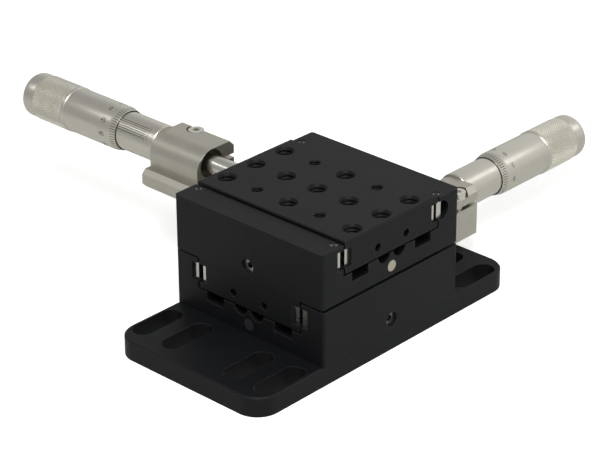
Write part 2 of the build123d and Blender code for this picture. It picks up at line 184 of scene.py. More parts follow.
def black_anodised():
    """Machined aluminium, fine-blasted and dyed black by anodising.

    The oxide is a matt, non-metallic skin: a broad soft sheen over fine blasted pits, a
    slightly uneven dye, and sharp edges painted paler: partly the thin skin worn there,
    partly a painted highlight along the edge.
    """
    made, tree, shader = start_material("black_anodised_aluminium", "#121315", 0.0, 0.5)
    shader.inputs["Specular IOR Level"].default_value = 0.15
    place = add(tree, "ShaderNodeTexCoord").outputs["Object"]
    # fine blasting is assumed to leave pits near 0.05 mm; they are drawn wider, to show
    pits = add(tree, "ShaderNodeTexNoise", {"Vector": place, "Scale": per_mm(0.16), "Detail": 2.0})
    dye = add(tree, "ShaderNodeTexNoise", {"Vector": place, "Scale": per_mm(14), "Detail": 3.0})
    rounded = add(tree, "ShaderNodeBevel", {"Radius": 0.22 * mm}, samples=6)
    flat = add(tree, "ShaderNodeNewGeometry").outputs["Normal"]
    turned_by = add(tree, "ShaderNodeVectorMath", {0: rounded.outputs[0], 1: flat},
                    operation="DOT_PRODUCT")
    # paler colour near every sharp edge: partly wear of the thin skin, partly a painted highlight
    edge = add(tree, "ShaderNodeMapRange", {"Value": turned_by.outputs["Value"], "From Min": 0.995,
                                            "From Max": 0.86, "To Min": 0.0, "To Max": 0.7})
    tone = add(tree, "ShaderNodeMix", {"Factor": dye.outputs["Fac"], "A": linear("#101113"),
                                       "B": linear("#151618")}, data_type="RGBA")
    worn_edge_and_painted_highlight = add(tree, "ShaderNodeMix", {"Factor": edge.outputs["Result"], "A": tone.outputs["Result"],
                                       "B": linear("#47484B")}, data_type="RGBA")
    tree.links.new(worn_edge_and_painted_highlight.outputs["Result"], shader.inputs["Base Color"])
    rough = add(tree, "ShaderNodeMapRange", {"Value": dye.outputs["Fac"], "To Min": 0.44, "To Max": 0.56})
    tree.links.new(rough.outputs["Result"], shader.inputs["Roughness"])
    bump = add(tree, "ShaderNodeBump", {"Height": pits.outputs["Fac"], "Distance": 0.006 * mm,
                                        "Strength": 0.6, "Normal": rounded.outputs[0]})
    tree.links.new(bump.outputs["Normal"], shader.inputs["Normal"])
    return made


def satin_nickel():
    """Aluminium under satin nickel plate: blasted before plating, so it glows softly."""
    made, tree, shader = start_material("satin_nickel_plate", "#B9B6AB", 1.0, 0.42)
    place = add(tree, "ShaderNodeTexCoord").outputs["Object"]
    # blasting is assumed to leave pits near 0.08 mm; they are drawn wider, to show
    pits = add(tree, "ShaderNodeTexNoise", {"Vector": place, "Scale": per_mm(0.2), "Detail": 2.0})
    cloud = add(tree, "ShaderNodeTexNoise", {"Vector": place, "Scale": per_mm(6), "Detail": 3.0})
    rounded = add(tree, "ShaderNodeBevel", {"Radius": 0.2 * mm}, samples=6)
    tone = add(tree, "ShaderNodeMix", {"Factor": cloud.outputs["Fac"], "A": linear("#B1AEA2"),
                                       "B": linear("#C1BEB3")}, data_type="RGBA")
    tree.links.new(tone.outputs["Result"], shader.inputs["Base Color"])
    rough = add(tree, "ShaderNodeMapRange", {"Value": cloud.outputs["Fac"], "To Min": 0.38, "To Max": 0.5})
    tree.links.new(rough.outputs["Result"], shader.inputs["Roughness"])
    bump = add(tree, "ShaderNodeBump", {"Height": pits.outputs["Fac"], "Distance": 0.008 * mm,
                                        "Strength": 0.5, "Normal": rounded.outputs[0]})
    tree.links.new(bump.outputs["Normal"], shader.inputs["Normal"])
    return made


def satin_chrome():
    """Turned steel under matt hard chrome: fine tool rings round the axis blur its shine."""
    made, tree, shader = start_material("satin_chrome_turned_steel", "#CAC7BC", 1.0, 0.32)
    turning = add(tree, "ShaderNodeUVMap", uv_map="turning").outputs["UV"]
    # the UV map is in millimetres; rings are assumed to be near 0.05 mm, drawn 0.12 mm to show
    stretch = add(tree, "ShaderNodeMapping", {"Vector": turning, "Scale": (0.05, 1 / 0.12, 1.0)})
    rings = add(tree, "ShaderNodeTexNoise", {"Vector": stretch.outputs[0], "Scale": 1.0, "Detail": 2.0})
    place = add(tree, "ShaderNodeTexCoord").outputs["Object"]
    cloud = add(tree, "ShaderNodeTexNoise", {"Vector": place, "Scale": per_mm(5), "Detail": 3.0})
    tone = add(tree, "ShaderNodeMix", {"Factor": rings.outputs["Fac"], "A": linear("#C1BEB2"),
                                       "B": linear("#D3D0C6")}, data_type="RGBA")
    tree.links.new(tone.outputs["Result"], shader.inputs["Base Color"])
    rough = add(tree, "ShaderNodeMapRange", {"Value": cloud.outputs["Fac"], "To Min": 0.27, "To Max": 0.38})
    tree.links.new(rough.outputs["Result"], shader.inputs["Roughness"])
    bump = add(tree, "ShaderNodeBump", {"Height": rings.outputs["Fac"], "Distance": 0.004 * mm,
                                        "Strength": 0.5})
    tree.links.new(bump.outputs["Normal"], shader.inputs["Normal"])
    return made


def knurled_chrome():
    """Matt hard chrome on the knurl's points; its colour is matched paler than the barrel's, a painted
    sheen for the light that its points catch.
    """
    made, tree, shader = start_material("satin_chrome_knurl_painted_paler", "#DEDBCF", 1.0, 0.36)
    place = add(tree, "ShaderNodeTexCoord").outputs["Object"]
    cloud = add(tree, "ShaderNodeTexNoise", {"Vector": place, "Scale": per_mm(3), "Detail": 3.0})
    # paler than the barrel's chrome: painted sheen for the light the knurl's points catch
    tone = add(tree, "ShaderNodeMix", {"Factor": cloud.outputs["Fac"], "A": linear("#D6D3C6"),
                                       "B": linear("#E6E3D7")}, data_type="RGBA")
    tree.links.new(tone.outputs["Result"], shader.inputs["Base Color"])
    rough = add(tree, "ShaderNodeMapRange", {"Value": cloud.outputs["Fac"], "To Min": 0.3, "To Max": 0.42})
    tree.links.new(rough.outputs["Result"], shader.inputs["Roughness"])
    return made


def ground_steel():
    """Hardened steel, ground bright: clear reflections drawn out by fine grinding lines."""
    made, tree, shader = start_material("ground_bearing_steel", "#C6C4BC", 1.0, 0.2)
    place = add(tree, "ShaderNodeTexCoord").outputs["Object"]
    # grinding is assumed to leave lines near 0.02 mm; they are drawn wider, to show
    stretch = add(tree, "ShaderNodeMapping", {"Vector": place, "Scale": (0.02, 0.02, 1.0)})
    lines = add(tree, "ShaderNodeTexNoise", {"Vector": stretch.outputs[0], "Scale": per_mm(0.1),
                                             "Detail": 2.0})
    rough = add(tree, "ShaderNodeMapRange", {"Value": lines.outputs["Fac"], "To Min": 0.17, "To Max": 0.31})
    tree.links.new(rough.outputs["Result"], shader.inputs["Roughness"])
    bump = add(tree, "ShaderNodeBump", {"Height": lines.outputs["Fac"], "Distance": 0.0006 * mm,
                                        "Strength": 0.4})
    tree.links.new(bump.outputs["Normal"], shader.inputs["Normal"])
    return made


def drawn_steel(name, colour, roughness):
    """Cold-headed or drawn steel, tumbled clean: even shine with fine scuffs."""
    made, tree, shader = start_material(name, colour, 1.0, roughness)
    place = add(tree, "ShaderNodeTexCoord").outputs["Object"]
    scuffs = add(tree, "ShaderNodeTexNoise", {"Vector": place, "Scale": per_mm(0.5), "Detail": 4.0})
    rough = add(tree, "ShaderNodeMapRange", {"Value": scuffs.outputs["Fac"], "To Min": roughness - 0.08,
                                             "To Max": roughness + 0.12})
    tree.links.new(rough.outputs["Result"], shader.inputs["Roughness"])
    bump = add(tree, "ShaderNodeBump", {"Height": scuffs.outputs["Fac"], "Distance": 0.004 * mm,
                                        "Strength": 0.4})
    tree.links.new(bump.outputs["Normal"], shader.inputs["Normal"])
    return made


def plain_brass():
    """Machined brass, a little dulled: warm metal with soft spots of tarnish."""
    made, tree, shader = start_material("plain_brass", "#C6A252", 1.0, 0.34)
    place = add(tree, "ShaderNodeTexCoord").outputs["Object"]
    spots = add(tree, "ShaderNodeTexNoise", {"Vector": place, "Scale": per_mm(2.5), "Detail": 4.0})
    tone = add(tree, "ShaderNodeMix", {"Factor": spots.outputs["Fac"], "A": linear("#A98843"),
                                       "B": linear("#D2B063")}, data_type="RGBA")
    tree.links.new(tone.outputs["Result"], shader.inputs["Base Color"])
    return made


def natural_nylon():
    """Natural nylon rod, cut off and faced: milky, slightly see-through, with fine tool rings."""
    made, tree, shader = start_material("natural_nylon", "#A9A68F", 0.0, 0.45)
    shader.inputs["Subsurface Weight"].default_value = 0.3
    shader.inputs["Subsurface Radius"].default_value = (0.8 * mm, 0.7 * mm, 0.5 * mm)
    shader.inputs["Subsurface Scale"].default_value = 1.0
    place = add(tree, "ShaderNodeTexCoord").outputs["Object"]
    grain = add(tree, "ShaderNodeTexNoise", {"Vector": place, "Scale": per_mm(0.4), "Detail": 3.0})
    tone = add(tree, "ShaderNodeMix", {"Factor": grain.outputs["Fac"], "A": linear("#9C9983"),
                                       "B": linear("#B2AF99")}, data_type="RGBA")
    tree.links.new(tone.outputs["Result"], shader.inputs["Base Color"])
    bump = add(tree, "ShaderNodeBump", {"Height": grain.outputs["Fac"], "Distance": 0.02 * mm,
                                        "Strength": 0.5})
    tree.links.new(bump.outputs["Normal"], shader.inputs["Normal"])
    return made


def black_nylon():
    """Black nylon rod, cut off and faced."""
    made, tree, shader = start_material("black_nylon", "#26262A", 0.0, 0.5)
    place = add(tree, "ShaderNodeTexCoord").outputs["Object"]
    grain = add(tree, "ShaderNodeTexNoise", {"Vector": place, "Scale": per_mm(0.3), "Detail": 3.0})
    bump = add(tree, "ShaderNodeBump", {"Height": grain.outputs["Fac"], "Distance": 0.02 * mm,
                                        "Strength": 0.5})
    tree.links.new(bump.outputs["Normal"], shader.inputs["Normal"])
    return made


def engraving_paint():
    """Dark enamel wiped into engraved marks: matt, and wiped unevenly, darker and paler in places."""
    made, tree, shader = start_material("engraving_paint", "#2B2A26", 0.0, 0.6)
    place = add(tree, "ShaderNodeTexCoord").outputs["Object"]
    wiped = add(tree, "ShaderNodeTexNoise", {"Vector": place, "Scale": per_mm(0.4), "Detail": 2.0})
    tone = add(tree, "ShaderNodeMix", {"Factor": wiped.outputs["Fac"], "A": linear("#201F1C"),
                                       "B": linear("#3A3933")}, data_type="RGBA")
    tree.links.new(tone.outputs["Result"], shader.inputs["Base Color"])
    return made


finishes = {
    "black_anodised": black_anodised(),
    "satin_nickel": satin_nickel(),
    "satin_chrome": satin_chrome(),
    "knurled_chrome": knurled_chrome(),
    "bearing_steel": ground_steel(),
    "screw_steel": drawn_steel("stainless_screw_steel", "#A5A49E", 0.3),
    "bright_screw": drawn_steel("bright_nickelled_screw", "#D2CFC6", 0.24),
    "spring_steel": drawn_steel("drawn_spring_wire", "#7E7D79", 0.36),
    "cage_brass": plain_brass(),
    "white_nylon": natural_nylon(),
    "black_nylon": black_nylon(),
}
paint = engraving_paint()


# ---------------------------------------------------------------- making and placing pieces
def new_piece(name, mesh, finish):
    """Object for a finished mesh, with one material."""
    piece = bpy.data.objects.new(name, mesh)
    bpy.context.scene.collection.objects.link(piece)
    mesh.materials.clear()
    mesh.materials.append(finish)
    return piece


def mesh_from(name, bm):
    """New mesh from an edited one, which is then freed."""
    mesh = bpy.data.meshes.new(name)
    bm.to_mesh(mesh)
    bm.free()
    return mesh


def made_plain(source):
    """Plain mesh of a new object's text, curve or modifiers; the object itself goes."""
    bpy.context.scene.collection.objects.link(source)
    evaluated = source.evaluated_get(bpy.context.evaluated_depsgraph_get())
    mesh = bpy.data.meshes.new_from_object(evaluated)
    bpy.data.objects.remove(source)
    return mesh


def smooth(mesh, sharp_angle=35):
    """Smooth shading that stays crisp over edges sharper than this many degrees."""
    mesh.shade_smooth()
    mesh.set_sharp_from_angle(angle=math.radians(sharp_angle))


def stand_for(piece, node):
    """The piece takes the CAD node's place and body; the node is hidden."""
    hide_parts(node)
    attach(piece, body_of[node])


def go_with(piece, node):
    """The piece is added to the CAD node: same body."""
    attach(piece, body_of[node])


def merged(node):
    """Editable copy of a CAD node's mesh, its triangles joined and flat faces made whole."""
    weld = 0.002 * mm
    nearly_flat = math.radians(0.2)
    bm = bmesh.new()
    bm.from_mesh(frame["nodes"][node].data)
    bmesh.ops.remove_doubles(bm, verts=bm.verts, dist=weld)
    bmesh.ops.dissolve_limit(bm, angle_limit=nearly_flat, verts=bm.verts, edges=bm.edges)
    return bm


def plain_mesh(name, bm):
    """Mesh from an edited copy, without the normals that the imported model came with."""
    mesh = mesh_from(name, bm)
    if "custom_normal" in mesh.attributes:
        mesh.attributes.remove(mesh.attributes["custom_normal"])
    return mesh


def finished_node(node):
    """The CAD node with clean shading and its finish on."""
    mesh = plain_mesh(node, merged(node))
    smooth(mesh)
    stand_for(new_piece(f"{node}_finished", mesh, finishes[slot_of[node]]), node)


# ---------------------------------------------------------------- turned parts
def softened(outline):
    """Round the corners of an outline: a point may have a third value, its corner's radius."""
    chord = 0.25                   # of the short lines that a rounding is drawn with
    rounded = []
    for i, corner in enumerate(outline):
        point = Vector(corner[:2])
        reach = corner[2] if len(corner) > 2 else 0.0
        if not reach:
            rounded.append(tuple(point))
            continue
        before = (Vector(outline[i - 1][:2]) - point).normalized() * reach
        after = (Vector(outline[(i + 1) % len(outline)][:2]) - point).normalized() * reach
        steps = max(3, round(reach / chord))
        for k in range(steps + 1):
            t = k / steps
            rounded.append(tuple(point + before * (1 - t) ** 2 + after * t ** 2))
    return rounded


def on_axis(x, radius, angle):
    """Point at this x and radius, turned by angle from +z towards -y about the axis."""
    return Vector((x, -radius * math.sin(angle), axis_z + radius * math.cos(angle)))


def turned(name, outline, sides=144):
    """Mesh of revolution about the micrometer's axis from (x, radius) points.

    An outline that starts and ends on the axis is closed by poles, any other by itself.
    The UV map "turning" holds millimetres round and along the outline.
    """
    points = softened(outline)
    bm = bmesh.new()
    turning = bm.loops.layers.uv.new("turning")
    rings = []
    for x, radius in points:
        angles = [2 * math.pi * k / sides for k in range(sides if radius > 0 else 1)]
        rings.append([bm.verts.new(on_axis(x, radius, a)) for a in angles])
    is_loop = points[0][1] > 0
    along = 0.0
    for i in range(len(points) if is_loop else len(points) - 1):
        here, there = rings[i], rings[(i + 1) % len(rings)]
        step = (Vector(points[(i + 1) % len(points)]) - Vector(points[i])).length
        for k in range(sides):
            corners = [(here, k, along), (here, k + 1, along),
                       (there, k + 1, along + step), (there, k, along + step)]
            face_verts = []
            face_uvs = []
            for ring, index, v in corners:
                vert = ring[index % len(ring)]
                if vert not in face_verts:
                    face_verts.append(vert)
                    face_uvs.append((2 * math.pi * barrel_radius * index / sides, v))
            face = bm.faces.new(face_verts)
            for loop, uv in zip(face.loops, face_uvs):
                loop[turning].uv = uv
        along += step
    bmesh.ops.recalc_face_normals(bm, faces=bm.faces)
    mesh = mesh_from(name, bm)
    smooth(mesh, turned_crease)
    return mesh


def sleeve_outline():
    """Shank for the clamp, shoulder and barrel, with the bore for the spindle."""
    bore = spindle_radius + spindle_play
    shoulder = bracket_low.x
    cone_length = 0.3
    cone_drop = 0.25
    return [(sleeve_high.x, bore), (sleeve_high.x, shank_radius, 0.3), (shoulder, shank_radius),
            (shoulder, barrel_radius - cone_drop), (shoulder - cone_length, barrel_radius, 0.1),
            (sleeve_low.x, barrel_radius, 0.2), (sleeve_low.x, bore)]


def spindle_outline():
    """Ground spindle with a flat lapped tip, its threaded part, and its stub inside the cap."""
    thread_x = sleeve_low.x + thread_inset
    thread_cone = 0.3
    wall_x = grip_low.x + rear_wall
    return [(spindle_high.x, 0), (spindle_high.x, spindle_radius, 0.3), (thread_x, spindle_radius),
            (thread_x - thread_cone, spindle_thread_radius), (wall_x, spindle_thread_radius),
            (wall_x, stub_radius), (spindle_low.x, stub_radius), (spindle_low.x, 0)]


def thimble_outline():
    """Barrel with a bevelled front edge, over the sleeve, and a core under the grip."""
    front, rear = thimble_high.x, thimble_low.x
    step = grip_high.x
    core = grip_radius - grip_wall
    bore = barrel_radius + thimble_play
    stub_bore = stub_radius + stub_play
    wall_x = rear + rear_wall - stub_play
    return [(front, lip_bore, 0.05), (front, lip_radius, 0.05),
            (front - bevel_length, thimble_radius, 0.25), (step, thimble_radius, 0.12),
            (step, core), (rear, core), (rear, stub_bore), (wall_x, stub_bore),
            (wall_x, bore), (front - lip_taper, bore)]


def grip_outline():
    """Ring with a chamfered rim at the front and a sunk band for the knurl."""
    front, rear = grip_high.x, grip_low.x
    core = grip_radius - grip_wall
    valley = grip_radius - knurl_depth
    rim_chamfer = 0.32
    rim_width = 0.75
    return [(front, core), (front, grip_radius - rim_chamfer),
            (front - rim_chamfer, grip_radius, 0.08), (front - rim_width, grip_radius, 0.05),
            (front - knurl_inset, valley), (rear, valley), (rear, core)]


def cap_outline():
    """Plain cap with a broad rounded edge."""
    inner, outer = cap_high.x, cap_low.x
    return [(inner, 0), (inner, cap_radius, 0.06), (outer, cap_radius, 2.2), (outer, 0)]


# ---------------------------------------------------------------- repeated details
def spread_tree():
    """Geometry Nodes tree that repeats a mesh by a turn about x and a slide along x."""
    tree = bpy.data.node_groups.new("spread", "GeometryNodeTree")
    sockets = [("Geometry", "NodeSocketGeometry"), ("Count", "NodeSocketInt"),
               ("Turn", "NodeSocketFloat"), ("Slide", "NodeSocketFloat"),
               ("Axis height", "NodeSocketFloat"), ("Finish", "NodeSocketMaterial")]
    for name, kind in sockets:
        tree.interface.new_socket(name, in_out="INPUT", socket_type=kind)
    tree.interface.new_socket("Geometry", in_out="OUTPUT", socket_type="NodeSocketGeometry")
    given = add(tree, "NodeGroupInput").outputs
    index = add(tree, "GeometryNodeInputIndex").outputs[0]
    turn = add(tree, "ShaderNodeMath", {0: index, 1: given["Turn"]}, operation="MULTIPLY")
    slide = add(tree, "ShaderNodeMath", {0: index, 1: given["Slide"]}, operation="MULTIPLY")
    place = add(tree, "ShaderNodeCombineXYZ", {"X": slide.outputs[0], "Z": given["Axis height"]})
    points = add(tree, "GeometryNodePoints", {"Count": given["Count"], "Position": place.outputs[0]})
    turned_by = add(tree, "ShaderNodeCombineXYZ", {"X": turn.outputs[0]})
    lowered = add(tree, "ShaderNodeMath", {0: 0.0, 1: given["Axis height"]}, operation="SUBTRACT")
    down = add(tree, "ShaderNodeCombineXYZ", {"Z": lowered.outputs[0]})
    centred = add(tree, "GeometryNodeTransform", {"Geometry": given["Geometry"],
                                                  "Translation": down.outputs[0]})
    copies = add(tree, "GeometryNodeInstanceOnPoints", {"Points": points.outputs[0],
                                                        "Instance": centred.outputs[0],
                                                        "Rotation": turned_by.outputs[0]})
    real = add(tree, "GeometryNodeRealizeInstances", {"Geometry": copies.outputs[0]})
    coated = add(tree, "GeometryNodeSetMaterial", {"Geometry": real.outputs[0],
                                                   "Material": given["Finish"]})
    add(tree, "NodeGroupOutput", {"Geometry": coated.outputs[0]})
    return tree


spreading = spread_tree()


def spread(mesh, count, finish, turn=0.0, slide=0.0):
    """Plain mesh of count copies, each turned about the micrometer's axis and slid along it."""
    source = bpy.data.objects.new("spread_source", mesh)
    modifier = source.modifiers.new("spread", "NODES")
    modifier.node_group = spreading
    values = {"Count": count, "Turn": turn, "Slide": slide, "Axis height": axis_z, "Finish": finish}
    for item in spreading.interface.items_tree:
        if item.in_out == "INPUT" and item.name in values:
            modifier[item.identifier] = values[item.name]
    return made_plain(source)


def outward(mesh):
    """The mesh with all its faces turned outwards."""
    bm = bmesh.new()
    bm.from_mesh(mesh)
    bmesh.ops.recalc_face_normals(bm, faces=bm.faces)
    bm.to_mesh(mesh)
    bm.free()
    return mesh


def bar(x_from, x_to, radius_from, radius_to, turn):
    """Thin mark lying along the axis on a cylinder or a cone, as a closed box."""
    mesh = bpy.data.meshes.new("bar")
    corners = []
    for x, radius in ((x_from, radius_from), (x_to, radius_to)):
        for side in (-1, 1):
            for height in (mark_proud, -mark_depth):
                corners.append(on_axis(x, radius + height, turn + side * mark_width / 2 / radius))
    faces = [(0, 2, 3, 1), (4, 5, 7, 6), (0, 4, 6, 2), (1, 3, 7, 5), (0, 1, 5, 4), (2, 6, 7, 3)]
    mesh.from_pydata(corners, [], faces)
    return outward(mesh)


def tick(x, radius, width, turn_from, turn_to, steps=6):
    """Thin mark lying round a cylinder, as a closed curved box."""
    mesh = bpy.data.meshes.new("tick")
    corners = []
    for k in range(steps + 1):
        turn = turn_from + (turn_to - turn_from) * k / steps
        for side in (-1, 1):
            for height in (mark_proud, -mark_depth):
                corners.append(on_axis(x + side * width / 2, radius + height, turn))
    faces = [(0, 1, 3, 2), (4 * steps, 4 * steps + 2, 4 * steps + 3, 4 * steps + 1)]
    for k in range(steps):
        a, b = 4 * k, 4 * k + 4
        faces += [(a, a + 2, b + 2, b), (a + 1, b + 1, b + 3, a + 3), (a, b, b + 1, a + 1),
                  (a + 2, a + 3, b + 3, b + 2)]
    mesh.from_pydata(corners, [], faces)
    return outward(mesh)


def joined(name, meshes):
    """One mesh from several."""
    bm = bmesh.new()
    for mesh in meshes:
        bm.from_mesh(mesh)
    return mesh_from(name, bm)


def numeral(text, height, x, radius, turn):
    """A number engraved on a cylinder: it reads along the axis, its middle at x and turn."""
    figure_share = 0.7             # height of a figure, of the type's size
    curve = bpy.data.curves.new(f"number_{text}", "FONT")
    curve.body = text
    curve.size = height / figure_share
    curve.align_x = "CENTER"
    curve.align_y = "CENTER"
    mesh = made_plain(bpy.data.objects.new("number", curve))
    for vert in mesh.vertices:
        u, v, _ = vert.co
        vert.co = on_axis(x + u, radius + mark_proud, turn - v / radius)
    bm = bmesh.new()
    bm.from_mesh(mesh)
    for face in bm.faces:
        out = face.calc_center_median() - Vector((x, 0, axis_z))
        if face.normal.dot(Vector((0, out.y, out.z))) < 0:
            face.normal_flip()
    bm.to_mesh(mesh)
    bm.free()
    return mesh


def thimble_marks(stage):
    """Divisions on the thimble's bevel, longer at the numbered ones, and their numbers."""
    front = thimble_high.x
    edge_gap = 0.25
    short_end = 2.1
    long_end = bevel_length + 0.1
    number_height = 1.6
    number_x = front - bevel_length - 2.6
    slope = (thimble_radius - lip_radius) / bevel_length
    one = 2 * math.pi / divisions
    start = number_turn[stage]
    made = []
    for end, step in ((short_end, 1), (long_end, numbered_step)):
        end_radius = min(thimble_radius, lip_radius + slope * end)
        mark = bar(front - edge_gap, front - end, lip_radius + slope * edge_gap, end_radius, start)
        made.append(spread(mark, divisions // step, paint, turn=one * step))
    for number in range(0, divisions, numbered_step):
        made.append(numeral(str(number), number_height, number_x, thimble_radius,
                            start - one * number))
    return joined(f"{stage}_thimble_marks", made)


def sleeve_marks(stage):
    """Lines of the vernier along the sleeve with their numbers, and the scale on the last one."""
    scale_end = thimble_high.x + scale_length / 2
    scale_start = scale_end - scale_length
    tick_width = 0.09
    number_height = 0.62
    number_x = scale_end + 0.8
    start = scale_turn[stage]
    index_turn = start + vernier_step * (vernier_lines - 1)
    line = bar(scale_start, scale_end, barrel_radius, barrel_radius, start)
    made = [spread(line, vernier_lines, paint, turn=vernier_step)]
    for height, step in ((0.75, 1.0), (0.5, 0.5)):    # whole and half millimetres
        mark = tick(scale_start, barrel_radius, tick_width, index_turn,
                    index_turn + height / barrel_radius)
        made.append(spread(mark, round(scale_length / step) + 1, paint, slide=step))
    for k in range(vernier_lines):
        turn = index_turn - vernier_step * k
        made.append(numeral(str(2 * k % 10), number_height, number_x, barrel_radius, turn))
    return joined(f"{stage}_sleeve_marks", made)


def knurl():
    """Diamond knurl: low four-sided points in rows, each row turned by half a step."""
    half_pitch = knurl_pitch / 2
    half_turn = math.pi / knurls_round
    rear_inset = 0.1
    first_x = grip_low.x + rear_inset + half_pitch
    rows = int((grip_high.x - knurl_inset - first_x - half_pitch) / half_pitch) + 1
    foot_radius = grip_radius - knurl_depth
    top_radius = grip_radius - 0.004
    top_length = half_pitch * 0.26
    top_turn = half_turn * 0.25
    corners = ((-1, 0), (0, -1), (1, 0), (0, 1))
    foot = [on_axis(first_x + dx * half_pitch, foot_radius, da * half_turn) for dx, da in corners]
    top = [on_axis(first_x + dx * top_length, top_radius, da * top_turn) for dx, da in corners]
    mesh = bpy.data.meshes.new("knurl_point")
    sides = [(k, (k + 1) % 4, (k + 1) % 4 + 4, k + 4) for k in range(4)]
    mesh.from_pydata(foot + top, [], [(3, 2, 1, 0), (4, 5, 6, 7)] + sides)
    finish = finishes["knurled_chrome"]
    ring = spread(outward(mesh), knurls_round, finish, turn=2 * half_turn)
    points = spread(ring, rows, finish, turn=half_turn, slide=half_pitch)
    smooth(points, turned_crease)
    return points


# ---------------------------------------------------------------- threads and springs
def thread_wall(thread, z_bottom, z_top, sides=40):
    """Inner wall of a tapped hole about the z axis: a helical V groove between two plain ends."""
    run_out = 0.3                  # the groove fades over this length at each end
    weld = 0.001
    flanks = (0.0, 0.5, 1.0, 0.5)  # depth of the groove along one pitch
    turns = (z_top - z_bottom) / thread["pitch"] + 1
    bm = bmesh.new()
    rows = []
    for j in range(int(turns * len(flanks)) + 2):
        row = []
        for k in range(sides + 1):
            lead = j / len(flanks) + k / sides - 1
            z = min(max(z_top - lead * thread["pitch"], z_bottom), z_top)
            fade = max(0.0, min(1.0, (z_top - z) / run_out, (z - z_bottom) / run_out))
            groove = flanks[j % len(flanks)] * fade
            radius = thread["drill"] + (thread["outside"] - thread["drill"]) * groove
            angle = 2 * math.pi * k / sides
            row.append(bm.verts.new((radius * math.cos(angle), radius * math.sin(angle), z)))
        rows.append(row)
    for upper, lower in zip(rows, rows[1:]):
        for k in range(sides):
            bm.faces.new((upper[k], upper[k + 1], lower[k + 1], lower[k]))
    bmesh.ops.remove_doubles(bm, verts=bm.verts, dist=weld)
    bmesh.ops.dissolve_degenerate(bm, edges=bm.edges, dist=weld)
    for face in bm.faces:
        centre = face.calc_center_median()
        if face.normal.dot(Vector((centre.x, centre.y, 0))) > 0:
            face.normal_flip()
    return mesh_from("thread_wall", bm)


def tapped_holes():
    """Centres of the carriage's holes in the stage's frame, with each one's thread."""
    holes = []
    for column in (-1, 0, 1):
        for row in (-2, -1, 0, 1, 2):
            is_small = column != 0 and row in (-1, 1)
            thread = small_thread if is_small else large_thread
            holes.append((row * hole_pitch, column * hole_pitch, thread))
    return holes


def drop_wall(bm, x, y, thread):
    """Take the plain wall out of a hole of the carriage."""
    reach_limit = thread["drill"] + 0.02
    wall = []
    for face in bm.faces:
        reach = max(math.hypot(v.co.x - x, v.co.y - y) for v in face.verts)
        if abs(face.normal.z) < 0.01 and reach < reach_limit:
            wall.append(face)
    bmesh.ops.delete(bm, geom=wall, context="FACES")


def countersink(bm, x, y, thread):
    """Widen and deepen the chamfer at the mouth of a hole of the carriage."""
    for vert in bm.verts:
        reach = math.hypot(vert.co.x - x, vert.co.y - y)
        depth = carriage_high.z - vert.co.z
        if depth < thread["mouth"] and reach < thread["mouth_radius"]:
            share = (reach - thread["drill"]) / thread["chamfer"]
            radius = thread["drill"] + share * (thread["mouth_radius"] - thread["drill"])
            vert.co.x = x + (vert.co.x - x) * radius / reach
            vert.co.y = y + (vert.co.y - y) * radius / reach
            vert.co.z = carriage_high.z - thread["mouth"] * (1 - share)


def carriage(stage):
    """The carriage with its holes countersunk and a thread cut in each."""
    node = f"{stage}_carriage"
    bm = merged(node)
    bmesh.ops.transform(bm, matrix=places[stage].inverted(), verts=bm.verts)
    for x, y, thread in tapped_holes():
        drop_wall(bm, x, y, thread)
        countersink(bm, x, y, thread)
        tapped = thread_wall(thread, carriage_low.z, carriage_high.z - thread["mouth"])
        tapped.transform(Matrix.Translation((x, y, 0)))
        bm.from_mesh(tapped)
    bmesh.ops.transform(bm, matrix=places[stage], verts=bm.verts)
    mesh = plain_mesh(node, bm)
    smooth(mesh)
    stand_for(new_piece(f"{node}_tapped", mesh, finishes[slot_of[node]]), node)


def hook_line(pin_x, y, z, first_turn):
    """Centre line of a spring's hook: three quarters of a ring round a pin."""
    steps = 12
    radius = pin_radius + wire_size / 2 + 0.1
    points = []
    for k in range(steps + 1):
        angle = math.pi * (first_turn + 1.5 * k / steps)
        points.append((pin_x + radius * math.cos(angle), y + radius * math.sin(angle), z))
    return points


def spring_line(y):
    """Centre line of one extension spring: a hook round each pin and open coils between."""
    steps = 14                     # points in one coil
    hook_reach = 1.6
    coil_pitch = wire_size * 2.2
    coil_radius = (spring_high.z - spring_low.z) / 2 - wire_size / 2
    centre_z = (spring_low.z + spring_high.z) / 2
    from_x = (base_pin_low.x + base_pin_high.x) / 2
    to_x = (table_pin_low.x + table_pin_high.x) / 2
    first, last = from_x + hook_reach, to_x - hook_reach
    turns = round((last - first) / coil_pitch)
    coils = []
    for k in range(turns * steps + 1):
        angle = 2 * math.pi * k / steps
        x = first + (last - first) * k / (turns * steps)
        coils.append((x, y - coil_radius * math.cos(angle), centre_z + coil_radius * math.sin(angle)))
    return hook_line(from_x, y, centre_z, 0.25) + coils + hook_line(to_x, y, centre_z, 1.25)


def coil_spring(y):
    """Wire bent along a spring's centre line."""
    curve = bpy.data.curves.new("spring", "CURVE")
    curve.dimensions = "3D"
    curve.bevel_depth = wire_size / 2
    curve.bevel_resolution = 1
    curve.use_fill_caps = True
    line = curve.splines.new("POLY")
    points = spring_line(y)
    line.points.add(len(points) - 1)
    for point, place in zip(line.points, points):
        point.co = (*place, 1.0)
    return made_plain(bpy.data.objects.new("wire", curve))


def springs(stage):
    """Both coil springs; they stretch between the base's pins and the carriage's."""
    node = f"{stage}_springs"
    wire_crease = 60
    pin_y = (base_pin_high.y - base_pin_low.y) / 2 - pin_radius
    mesh = joined(node, [coil_spring(y) for y in (-pin_y, pin_y)])
    mesh.transform(places[stage])
    smooth(mesh, wire_crease)
    piece = new_piece(f"{stage}_spring_coils", mesh, finishes[slot_of[node]])
    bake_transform(piece)
    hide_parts(node)


# ---------------------------------------------------------------- the object
def turned_piece(stage, node, outline):
    """A turned part of one micrometer, standing for its node."""
    name = f"{stage}_{node}"
    mesh = turned(name, outline)
    mesh.transform(places[stage])
    stand_for(new_piece(f"{name}_turned", mesh, finishes[slot_of[name]]), name)


